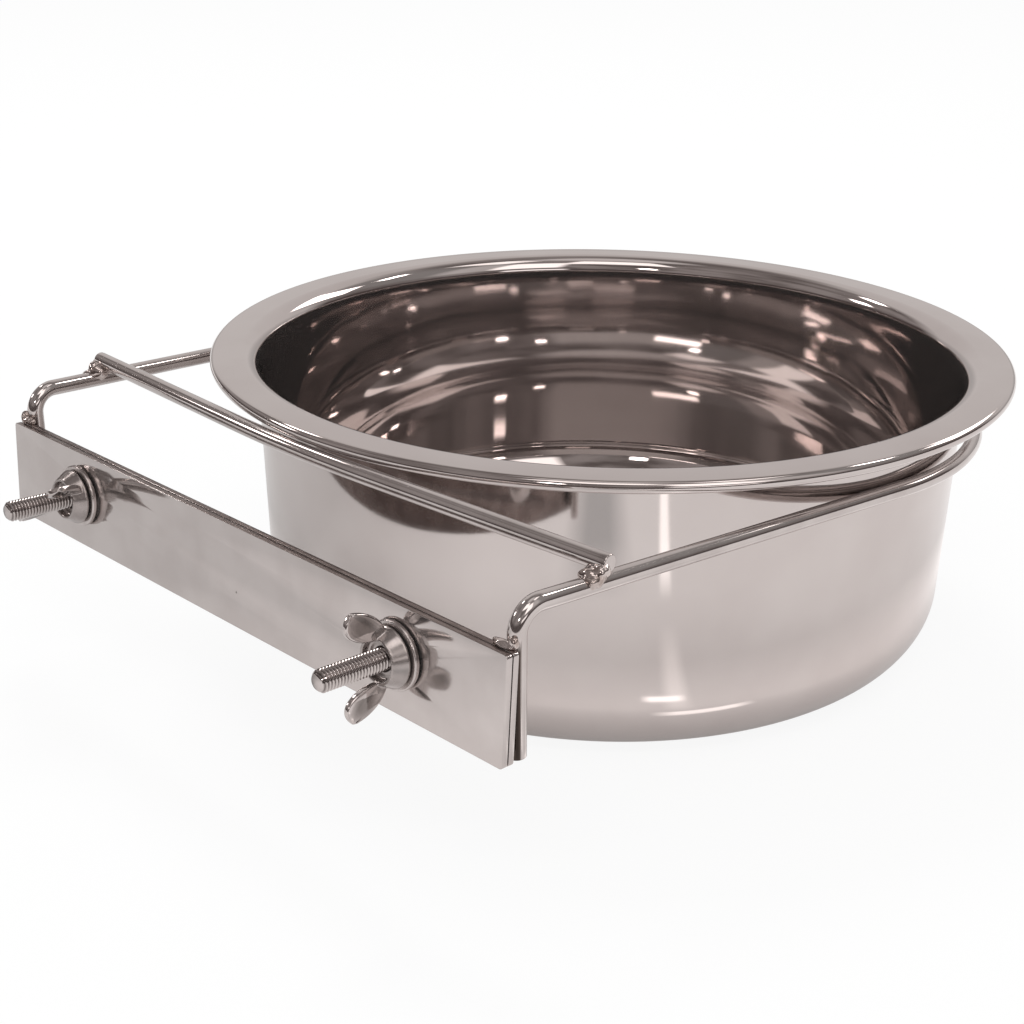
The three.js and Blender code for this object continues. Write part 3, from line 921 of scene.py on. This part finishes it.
@dataclass
class ClampBolt:
    """One bolt with its washer and its wing nut, on the nut's own axis.

    The ears' edge curves are control points in millimetres, out from the axis and up from the cup's
    base. The neck's levels are in millimetres past the head's flat side.
    """

    name: str
    turn: float
    plate: float = 1.4 * MM
    gap: float = 0.3 * MM
    reach: float = 20.2 * MM
    radius: float = 2.45 * MM
    pitch: float = 0.8 * MM
    thread_depth: float = 0.42 * MM
    chamfer: float = 0.75 * MM
    head_radius: float = 5.6 * MM
    head_height: float = 2.6 * MM
    head_side: float = 0.6 * MM
    head_edge: float = 0.2 * MM
    neck: float = 5 * MM
    neck_bend: float = 0.5 * MM
    neck_levels: Triple = (-0.3, 0.9, 1.6)
    shank_start: float = 1.2 * MM
    rows_in_pitch: int = 14
    thread_flank: float = 1.25
    thread_crest: float = 0.12
    # Strength of the painted shade in the thread's grooves.
    groove_shade: float = 0.8
    tip_share: float = 0.3
    washer_radius: float = 7.5 * MM
    washer_thickness: float = 1.2 * MM
    washer_edge: float = 0.4 * MM
    bore: float = 2.8 * MM
    bore_edge: float = 0.15 * MM
    thread_step: float = 0.25 * MM
    nut_radius: float = 6.7 * MM
    nut_rim_radius: float = 5.1 * MM
    nut_height: float = 3.6 * MM
    nut_wall: float = 0.8 * MM
    nut_floor: float = 1.9 * MM
    nut_edge: float = 0.3 * MM
    nut_voxel: float = 0.16 * MM
    nut_smooth: int = 5
    wing_thickness: float = 1.9 * MM
    wing_dish: float = 0.45
    wing_powers: tuple[float, float] = (0.6, 0.4)
    wing_thinning: float = 0.15
    wing_closing: tuple[float, float] = (0.93, 0.07)
    wing_least: float = 0.3
    wing_lower: tuple[tuple[float, float], ...] = ((4.6, 1.0), (8.2, 1.2), (11.2, 4.6), (11.7, 9.9))
    wing_upper: tuple[tuple[float, float], ...] = ((4.6, 4.6), (4.6, 8.5), (7.5, 14.5), (11.7, 9.9))
    # A painted shade oval in the middle of each ear.
    ear_shade_middle: tuple[float, float] = (7.9 * MM, 7.0 * MM)
    ear_shade_half: tuple[float, float] = (4.2 * MM, 3.0 * MM)
    ear_shade_core: float = 1.2
    ear_shade_strength: float = 0.62
    skirt_strength: float = 0.35
    polish_blend: tuple[float, float] = (0.5 * MM, 0.4 * MM)

    def __post_init__(self) -> None:
        """Reads the bolt's axis and the washer's seat from the nut's joint."""
        joint = next(j for j in frame["joints"] if j["name"] == f"wing_nut_{self.name}_turn")
        outwards = np.array(joint["axis"], float)
        upright = np.cross(outwards, [1.0, 0.0, 0.0])
        upright = upright if upright[2] > 0 else -upright
        turn = np.radians(self.turn)
        wing = upright * np.cos(turn) - np.array([1.0, 0, 0]) * np.sin(turn)
        axes = np.stack([wing, np.cross(outwards, wing), outwards])
        seat = np.array(joint["pos_m"], float)
        self.washer_place = Place(seat, axes)
        self.nut_place = Place(seat + outwards * (self.washer_thickness + self.gap), axes)
        clamped = 2 * self.plate + 2 * self.gap
        self.grip = clamped + self.gap
        level = np.stack([np.array([1.0, 0, 0]), np.cross(outwards, [1.0, 0, 0]), outwards])
        self.bolt_place = Place(seat - outwards * self.grip, level)

    def head(self) -> Surface:
        """The head: a flat cap of a ball with a rounded rim, turned round the bolt's axis.

        For a cap of radius r and height h the ball's radius is (r r + h h) / 2 h. Both ends of
        the profile stay a little off the axis, and the closing fans fill them.

        Returns:
            The head, its flat side at the bolt's origin.
        """
        rise = self.head_height - self.head_side
        crown = (self.head_radius ** 2 + rise ** 2) / (2 * rise)
        half = np.degrees(np.arcsin(self.head_radius / crown))
        dome = arc((0, crown - self.head_height), crown, -90 + 0.5, -90 + half, 14)
        rim = arc((self.head_radius - self.head_edge, -self.head_edge), self.head_edge, -30, 90, 4)
        return revolve(np.concatenate([dome, rim, [[self.head_edge, 0]]]), sides=64, ends=True)

    def square_neck(self) -> Surface:
        """The neck: a square with rounded corners carried along the bolt's axis.

        Returns:
            The neck, which reaches into the head and into the shank.
        """
        middle = self.neck / 2 - self.neck_bend
        corner = arc((middle, middle), self.neck_bend, 0, 90, 4)
        quarters = ((1, 0), (0, 1), (-1, 0), (0, -1))
        square = np.concatenate([corner @ np.array([[c, s], [-s, c]]) for c, s in quarters])
        levels = mm(*self.neck_levels)
        return skin(np.stack([np.c_[square, np.full(len(square), z)] for z in levels]), ends=True)

    def shank(self) -> Surface:
        """The shank with its helical thread.

        Its radius at angle a and height z is the crest less the depth times a flattened triangle
        wave of z / pitch - a / 2 pi, and no more than the bevel of the end. Painted shade darkens
        the thread towards its grooves.

        Returns:
            The shank, from inside the neck to the tip.
        """
        length = self.grip + self.reach - self.gap
        rows = int((length - self.shank_start) / self.pitch * self.rows_in_pitch)
        heights = np.linspace(self.shank_start, length, rows)[:, None]
        angles = full_turn(48)
        wave = (heights / self.pitch - angles / (2 * np.pi)) % 1
        ridge = np.clip(np.abs(2 * wave - 1) * self.thread_flank - self.thread_crest, 0, 1)
        bevel = self.radius - self.chamfer + (length - heights)
        end = np.maximum(bevel, self.tip_share * self.radius)
        radii = np.minimum(self.radius - self.thread_depth * ridge, end)
        rings = np.stack([radii * np.cos(angles), radii * np.sin(angles), heights + 0 * angles], -1)
        return skin(rings, ends=True, marks={"shade_and_grime": ridge ** 1.5 * self.groove_shade})

    def washer(self) -> Surface:
        """A flat ring with rounded edges, its inner face at the seat.

        Returns:
            The washer, in its own axes.
        """
        inner, eased = self.bore + self.bore_edge, self.bore_edge
        edge, top = self.washer_edge, self.washer_thickness
        outer = self.washer_radius - edge
        section = np.concatenate([
            arc((inner, eased), eased, 180, 270, 3),
            arc((outer, edge), edge, -90, 0, 8),
            arc((outer, top - edge), edge, 0, 90, 8),
            arc((inner, top - eased), eased, 90, 180, 3),
        ])
        return revolve(section, sides=96, ends=False)

    def cup(self) -> Surface:
        """The nut's threaded cup, open at its outer end.

        Returns:
            The cup, in the nut's own axes.
        """
        inside, bore = self.nut_rim_radius - self.nut_wall, self.bore - self.thread_step
        edge = self.nut_edge
        section = np.concatenate([
            arc((self.nut_radius - 2 * edge, 2 * edge), 2 * edge, -90, 0, 6),
            arc((self.nut_rim_radius - edge, self.nut_height - edge), edge, 0, 90, 5),
            arc((inside + edge, self.nut_height - edge), edge, 90, 180, 5),
            arc((inside - 2 * edge, self.nut_floor + 2 * edge), 2 * edge, 0, -90, 5),
            arc((bore + edge, self.nut_floor - edge), edge, 90, 180, 4),
            [[bore, 0.0]],
        ])
        return revolve(section, sides=72, ends=False)

    def wing(self, side: int) -> Surface:
        """One ear: flat bars with round edges between a lower and an upper edge curve.

        Both edges are cubic curves from the cup's wall to the tip, where they meet. At share s
        of them the bar runs from the lower to the upper point, and its section is a
        super-ellipse: (w |cos|^p, t |sin|^q) with the signs kept, pressed in along its middle.

        Args:
            side: 1 for the ear towards the nut's own X, -1 for the other.

        Returns:
            The surface.
        """
        share = np.sin(np.linspace(0, 1, 56) * np.pi / 2)[:, None]
        lower, upper = (cubic(np.array(edge) * MM, share) for edge in (self.wing_lower, self.wing_upper))
        bar = signed_power(np.cos(full_turn(96)), self.wing_powers[0])
        face = signed_power(np.sin(full_turn(96)), self.wing_powers[1])
        face = face * (1 - self.wing_dish * (1 - bar ** 2) ** 2)
        tip, length = self.wing_closing
        closing = np.sqrt(np.clip(1 - np.clip((share - tip) / length, 0, 1) ** 2, 0, 1))
        thinning = 1 - self.wing_thinning * share ** 2
        thickness = self.wing_thickness / 2 * thinning * (self.wing_least + (1 - self.wing_least) * closing)
        middle = (lower + upper) / 2
        outline = middle[:, None] + (upper - lower)[:, None] / 2 * bar[:, None]
        points = np.stack([side * outline[..., 0], thickness * face, outline[..., 1]], -1)
        return skin(points, ends=True)

    def mark_nut(self, nut: bpy.types.Mesh) -> None:
        """Marks how far the nut is polished and where it is darkened.

        The ears and the cup's mouth are polished, and its skirt stays satin. The skirt is darker,
        and painted shade darkens the middle of each ear as an oval whose axes run diagonally.

        Args:
            nut: the nut's mesh, in place, which gets a polish attribute and a darkening attribute.
        """
        points = np.empty(len(nut.vertices) * 3)
        nut.vertices.foreach_get("co", points)
        own = (points.reshape(-1, 3) - self.nut_place.origin) @ self.nut_place.axes.T
        out, up = np.abs(own[:, 0]), own[:, 2]
        past_skirt = (out - self.nut_radius) / self.polish_blend[0]
        past_mouth = (up - self.nut_height) / self.polish_blend[1]
        polish = np.clip(np.maximum(past_skirt, past_mouth), 0, 1)
        out, up = out - self.ear_shade_middle[0], up - self.ear_shade_middle[1]
        along, across = np.stack([out + up, up - out]) / np.sqrt(2) / np.array(self.ear_shade_half)[:, None]
        oval = np.clip(self.ear_shade_core - along ** 2 - across ** 2, 0, 1) * (past_skirt > 0)
        # The skirt is darker, and the ear ovals are painted shade.
        shade_and_grime = np.maximum(self.skirt_strength * (1 - polish), self.ear_shade_strength * oval)
        mark(nut, {"polish": polish, "shade_and_grime": shade_and_grime})

    def build(self) -> None:
        """Makes and dresses the bolt, the washer and the wing nut of this side."""
        parts = [self.bolt_place.moved(part) for part in (self.head(), self.square_neck(), self.shank())]
        bolt = Surface.joined(parts)
        # Painted shade only on the thread; the head and the neck stay unshaded.
        unshaded = [np.zeros(len(part.points)) for part in parts[:2]]
        bolt.marks = {"shade_and_grime": np.concatenate([*unshaded, parts[2].marks["shade_and_grime"]]),
                      "polish": np.ones(len(bolt.points))}
        name = f"carriage_bolt_{self.name}"
        dress(name, bolt.mesh(name), FASTENER_CHROME, "frame", f"bolt_{self.name}", crease=50)
        name = f"flat_washer_{self.name}"
        washer = self.washer_place.moved(self.washer()).mesh(name)
        dress(name, washer, FASTENER_CHROME, "clamp_jaw", f"washer_{self.name}", crease=60)
        name, body = f"pressed_wing_nut_{self.name}", f"wing_nut_{self.name}"
        solids = [self.nut_place.moved(solid) for solid in (self.cup(), self.wing(1), self.wing(-1))]
        nut = fused(solids, name, self.nut_voxel, self.nut_smooth)
        self.mark_nut(nut)
        dress(name, nut, FASTENER_CHROME, body, body, crease=60)


def warm_light(brightness: float) -> Triple:
    """The slightly warm colour of the room's light at this brightness."""
    red, green, blue = 1.04, 0.985, 0.965
    return (brightness * red, brightness * green, brightness * blue)


@dataclass(frozen=True)
class RoomPanel:
    """An area of the room that the steel mirrors, by its direction from the object in degrees.

    Turn 0 is the -Y side and 90 the +X side; height 0 is level and 90 straight up.
    """

    turn: float
    half_width: float
    low: float
    high: float
    brightness: float
    edge: float

    def cover(self, sheet: NodeSheet, turn: Socket, height: Socket) -> Socket:
        """How much of a direction the panel fills: 1 inside it, 0 outside, soft between.

        Args:
            sheet: the node tree that takes the nodes.
            turn: the direction's turn in radians.
            height: its height in radians.

        Returns:
            The share.
        """
        middle, half, low, high, edge = np.radians(
            [self.turn, self.half_width, self.low, self.high, self.edge])
        off = sheet.maths("WRAP", sheet.maths("SUBTRACT", turn, middle), np.pi, -np.pi)
        sides = sheet.ranged(sheet.maths("ABSOLUTE", off), half - edge, half + edge, 1, 0)
        above = sheet.ranged(height, low - edge, low + edge, 0, 1)
        below = sheet.ranged(height, high - edge, high + edge, 1, 0)
        return sheet.maths("MULTIPLY", sides, sheet.maths("MULTIPLY", above, below))


@dataclass(frozen=True)
class PaintedTableMark:
    """A painted glare or painted shade on the table that only the steel mirrors: its middle, half sizes and
    turn.
    """

    x: float
    y: float
    half_length: float
    half_width: float
    turn: float
    brightness: float
    edge: float

    def cover(self, sheet: NodeSheet, place: Socket) -> Socket:
        """How much of a point the mark fills: 1 inside it, 0 outside, soft between.

        Args:
            sheet: the node tree that takes the nodes.
            place: the point's coordinates.

        Returns:
            The share.
        """
        own = sheet.node("ShaderNodeMapping", "Vector", {
            "Vector": place,
            "Location": (self.x, self.y, 0),
            "Rotation": (0, 0, np.radians(self.turn)),
            "Scale": (self.half_length, self.half_width, 1),
        }, vector_type="TEXTURE")
        off = [sheet.maths("ABSOLUTE", sheet.part(own, axis)) for axis in "XY"]
        inside = [sheet.ranged(share, 1 - self.edge, 1 + self.edge, 1, 0) for share in off]
        return sheet.maths("MULTIPLY", *inside)


# Turn, half width, low edge, high edge, brightness and soft edge of each panel.
ROOM = [RoomPanel(*row) for row in (
    (-145, 50, -30, 12, 0.36, 7),
    (-145, 50, 7, 54, 0.68, 7),
    (138, 40, 22, 60, 0.3, 7),
    (99, 13, 24, 60, 0.62, 5),
    (75, 14, 26, 58, 1.9, 2),
    (70, 12, 8, 15, 1.8, 1.5),
    (38, 25, 52, 73, 1.9, 2),
    (0, 200, 78, 120, 0.75, 3),
    (171, 17, 25, 38, 6.0, 1.5),
    (128, 24, 64, 76, 1.8, 2),
    (-60, 4, 21, 28, 13.0, 1),
    (28, 3, 23, 29, 13.0, 1),
    (-86, 4, 40, 46, 13.0, 1),
    (152, 4, 46, 53, 13.0, 1),
)]
# Middle x and y, half length, half width, turn in degrees, brightness and soft edge of each mark.
# Painted light on the table: the first mark is a painted shadow, the second painted shade, and the last
# four painted glare.
PAINTED_TABLE_MARKS = [PaintedTableMark(*row) for row in (
    (-0.28, -0.1, 0.25, 0.5, 0, 0.52, 0.3),
    (0.147, -0.171, 0.036, 0.02, -50, 0.3, 0.5),
    (0.182, -0.1205, 0.035, 0.004, -34, 2.4, 0.3),
    (0.11, -0.0715, 0.017, 0.0042, -34, 1.45, 0.6),
    (0.0975, -0.0695, 0.0075, 0.0016, 56, 2.6, 0.3),
    (0.0918, -0.0498, 0.0145, 0.0021, 56, 2.4, 0.3),
)]


@dataclass
class Studio:
    """White floor and backdrop, soft lamps, a room for the steel to mirror, and the camera."""

    eye: Triple = (0.28774, -0.32279, 0.2038)
    azimuth: float = 45.06
    pitch: float = 22.26
    roll: float = 0.75
    focal_length: float = 59.0
    floor_size: float = 6.0
    floor_drop: float = 0.2 * MM
    floor_grey: float = 0.88
    dome_radius: float = 2.8
    dome_steps: tuple[int, int] = (96, 24)
    world_light: float = 0.75
    low_shade: Triple = (0.07, 0.05, 0.047)
    low_edge: tuple[float, float] = (8.0, 16.0)
    dim_shade: Triple = (0.14, 0.118, 0.112)
    room_shade: Triple = (0.345, 0.31, 0.302)
    patch_scale: float = 2.6
    patch_range: tuple[float, float] = (0.38, 0.62)
    table_shade: Triple = (1.0, 0.942, 0.926)
    table_edge: tuple[float, float] = (0.45, 0.6)
    foot_shades: tuple[Triple, ...] = (
        (0.084, 0.112, 0.41), (0.118, 0.138, 1.39), (0.14, 0.18, 0.914))
    seen_lift: float = 0.9
    mirrored_lift: float = 0.6
    aim: Triple = (0.0, 0.0, 0.03)

    def camera(self) -> None:
        """Sets the camera at the photograph's viewpoint, by its turn, its dip and its roll."""
        turn, dip, roll = np.radians([self.azimuth, self.pitch, self.roll])
        ahead = np.array([-np.sin(turn) * np.cos(dip), np.cos(turn) * np.cos(dip), -np.sin(dip)])
        right = np.array([np.cos(turn), np.sin(turn), 0])
        above = np.cross(right, ahead)
        across = right * np.cos(roll) + above * np.sin(roll)
        upright = above * np.cos(roll) - right * np.sin(roll)
        lens = bpy.data.cameras.new("camera")
        lens.lens = self.focal_length
        lens.sensor_width = 36
        lens.sensor_fit = "HORIZONTAL"
        lens.clip_start = 0.01
        camera = placed("camera", lens)
        axes = Matrix([across, upright, -ahead]).transposed().to_4x4()
        camera.matrix_world = Matrix.Translation(Vector(self.eye)) @ axes
        bpy.context.scene.camera = camera

    def floor(self) -> None:
        """A pale floor that shows white, with the object's faint shadow kept."""
        half = self.floor_size / 2
        mesh = bpy.data.meshes.new("floor")
        corners = [(-half, -half, 0), (half, -half, 0), (half, half, 0), (-half, half, 0)]
        mesh.from_pydata(corners, [], [(0, 1, 2, 3)])
        mesh.materials.append(self.floor_material())
        floor = placed("floor", mesh)
        floor.location.z = -self.floor_drop

    def floor_material(self) -> bpy.types.Material:
        """A matt pale floor, lifted to white for the camera and in reflections.

        Reflections also see its marks of painted glare and shade, the dark room past the table's near
        edge, and the painted shade and light round the bowl's foot: for each row of foot_shades, the
        light goes from the third number at the first distance from the bowl's axis to 1 at the second.

        Returns:
            The material.
        """
        material = bpy.data.materials.new("pale_floor")
        sheet = NodeSheet.blank(material)
        place = sheet.place()
        turn = np.radians(self.azimuth)
        nearer = sheet.measure("DOT_PRODUCT", place, (np.sin(turn), -np.cos(turn), 0))
        past = sheet.ranged(nearer, *self.table_edge, 0, 1)
        table = self.table_shade
        # Painted glare and shade marks on the table, seen only in reflections.
        for painted_mark in PAINTED_TABLE_MARKS:
            table = sheet.mix_colour(painted_mark.cover(sheet, place), table, warm_light(painted_mark.brightness))
        table = sheet.mix_colour(past, table, self.low_shade)
        mirrored = sheet.maths("MAXIMUM", sheet.ray("Is Glossy Ray"), sheet.ray("Is Transmission Ray"))
        distance = sheet.measure("LENGTH", place)
        shade = 1.0
        for near, far, share in self.foot_shades:
            shade = sheet.maths("MULTIPLY", sheet.ranged(distance, near, far, share, 1.0), shade)
        colour = sheet.mix_colour(mirrored, (1.0, 1.0, 1.0), table)
        glow = sheet.glow(colour, sheet.mix(mirrored, 1.0, shade))
        matt = sheet.node("ShaderNodeBsdfDiffuse", 0, {"Color": (self.floor_grey,) * 3})
        seen = sheet.maths("MULTIPLY", sheet.ray("Is Camera Ray"), self.seen_lift)
        lift = sheet.maths("MULTIPLY", mirrored, sheet.ranged(past, 0, 1, self.mirrored_lift, 1.0))
        share = sheet.maths("MAXIMUM", seen, lift)
        sheet.show(sheet.node("ShaderNodeMixShader", 0, {0: share, 1: matt, 2: glow}))
        return material

    def dome(self) -> None:
        """A half ball over the stage that only reflections see: the room round the white table.

        The point at azimuth a and elevation e is radius * (sin a cos e, -cos a cos e, sin e).
        """
        around, upwards = (steps + 1 for steps in self.dome_steps)
        a = np.radians(np.linspace(0, 360, around))[:, None]
        e = np.radians(np.linspace(0, 90, upwards))
        points = self.dome_radius * np.stack(
            [np.sin(a) * np.cos(e), -np.cos(a) * np.cos(e), np.sin(e) + 0 * a], -1)
        index = np.arange(around * upwards).reshape(around, upwards)
        quads = np.stack([index[:-1, :-1], index[1:, :-1], index[1:, 1:], index[:-1, 1:]], -1)
        mesh = bpy.data.meshes.new("room_dome")
        mesh.from_pydata(points.reshape(-1, 3).tolist(), [], quads.reshape(-1, 4).tolist())
        mesh.materials.append(self.room_material())
        dome = placed("room_dome", mesh)
        dome.visible_camera = False
        dome.visible_diffuse = False
        dome.visible_shadow = False

    def room_material(self) -> bpy.types.Material:
        """The room by direction: dark low down, uneven and dim above, with its panels on top.

        Returns:
            The material.
        """
        material = bpy.data.materials.new("room_dome")
        sheet = NodeSheet.blank(material)
        place = sheet.place()
        way = sheet.scaled(place, (1 / self.dome_radius,) * 3)
        front = sheet.maths("MULTIPLY", sheet.part(way, "Y"), -1.0)
        turn = sheet.maths("ARCTAN2", sheet.part(way, "X"), front)
        height = sheet.maths("ARCSINE", sheet.part(way, "Z"))
        patches = sheet.ranged(sheet.noise(way, self.patch_scale, detail=4.0), *self.patch_range, 0, 1)
        room = sheet.mix_colour(patches, self.dim_shade, self.room_shade)
        above = sheet.ranged(height, *np.radians(self.low_edge), 0, 1)
        room = sheet.mix_colour(above, self.low_shade, room)
        for panel in ROOM:
            room = sheet.mix_colour(panel.cover(sheet, turn, height), room, warm_light(panel.brightness))
        sheet.show(sheet.glow(room))
        return material

    def lamp(self, name: str, place: Triple, size: float, power: float,
             width: float | None = None) -> None:
        """A soft lamp that faces the object.

        Args:
            name: the lamp's name.
            place: where it stands.
            size: its length.
            power: its power in watts.
            width: its width, when it isn't square.
        """
        light = bpy.data.lights.new(name, "AREA")
        light.energy = power
        light.size = size
        if width is not None:
            light.shape = "RECTANGLE"
            light.size_y = width
        lamp = placed(name, light)
        lamp.location = place
        lamp.rotation_euler = (Vector(self.aim) - Vector(place)).to_track_quat("-Z", "Y").to_euler()
        lamp.visible_glossy = False

    def world(self) -> None:
        """A white room: white to the camera and in reflections, softer for lighting."""
        world = bpy.data.worlds.new("white_room")
        sheet = NodeSheet.blank(world)
        strength = sheet.ranged(sheet.ray("Is Diffuse Ray"), 0, 1, 1.0, self.world_light)
        white = sheet.node("ShaderNodeBackground", 0, {"Color": (1.0, 1.0, 1.0), "Strength": strength})
        sheet.show(white, "ShaderNodeOutputWorld")
        bpy.context.scene.world = world

    def build(self) -> None:
        """Sets the stage, the lamps and the camera."""
        bpy.context.scene.view_settings.view_transform = "Standard"
        self.world()
        self.floor()
        self.dome()
        self.lamp("key_lamp", (-0.7, 0.5, 1.5), size=0.5, power=9)
        self.lamp("window_strip", (0.75, -0.85, 1.5), size=1.2, power=8, width=0.25)
        self.camera()


def main() -> None:
    """Builds every piece in order, then the stage."""
    logging.basicConfig(level=logging.INFO, format="%(name)s: %(message)s")
    bowl = Bowl()
    WireFrame(bowl).build()
    bowl.build()
    ClampPlates().build()
    ClampBolt("left", turn=-55).build()
    ClampBolt("right", turn=3).build()
    Studio().build()


if __name__ == "__main__":
    main()
